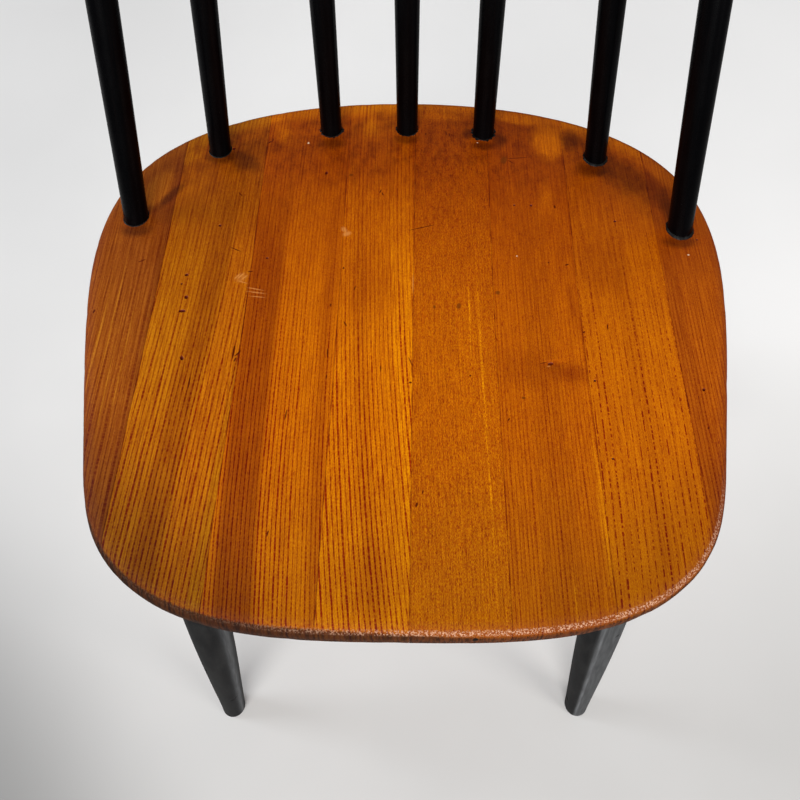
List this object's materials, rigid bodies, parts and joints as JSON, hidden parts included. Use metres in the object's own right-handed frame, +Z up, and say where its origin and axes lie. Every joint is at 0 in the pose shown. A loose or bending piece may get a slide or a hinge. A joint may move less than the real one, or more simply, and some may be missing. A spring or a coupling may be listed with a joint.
{
  "type": "spindle-back chair",
  "caption": "Worn spindle-back dining chair: saddled seat of glued softwood boards, black turned spindles under a bent crest rail, and splayed black turned legs.",
  "frame": {"origin": "on the floor, under the middle of the chair's box", "axes": "+Z up, -Y towards the front edge of the seat, +X to the right as seen from the front"},
  "size_m": [0.4236, 0.4941, 0.8547],
  "materials": {
    "seat_wood": "worn orange-brown varnish over coarse softwood grain, satin",
    "black_paint": "satin to gloss black paint on turned wood, scuffed and chipped at the joints",
    "dull_steel": "dull and darkened with age"
  },
  "bodies": {
    "root": {"seat_board_1": "seat_wood", "seat_board_2": "seat_wood", "seat_board_3": "seat_wood", "seat_board_4": "seat_wood", "seat_board_5": "seat_wood", "seat_board_6": "seat_wood", "seat_board_7": "seat_wood", "seat_board_8": "seat_wood", "back_post_left": "black_paint", "spindle_1": "black_paint", "spindle_2": "black_paint", "spindle_3": "black_paint", "spindle_4": "black_paint", "spindle_5": "black_paint", "back_post_right": "black_paint", "crest_rail": "black_paint", "front_left_leg": "black_paint", "front_right_leg": "black_paint", "rear_left_leg": "black_paint", "rear_right_leg": "black_paint", "front_batten": "black_paint", "rear_batten": "black_paint", "front_batten_screw_1": "dull_steel", "front_batten_screw_2": "dull_steel", "front_batten_screw_3": "dull_steel", "front_batten_screw_4": "dull_steel", "rear_batten_screw_1": "dull_steel", "rear_batten_screw_2": "dull_steel", "rear_batten_screw_3": "dull_steel", "rear_batten_screw_4": "dull_steel", "front_left_glide": "dull_steel", "front_right_glide": "dull_steel", "rear_left_glide": "dull_steel", "rear_right_glide": "dull_steel"}
  },
  "joints": []
}
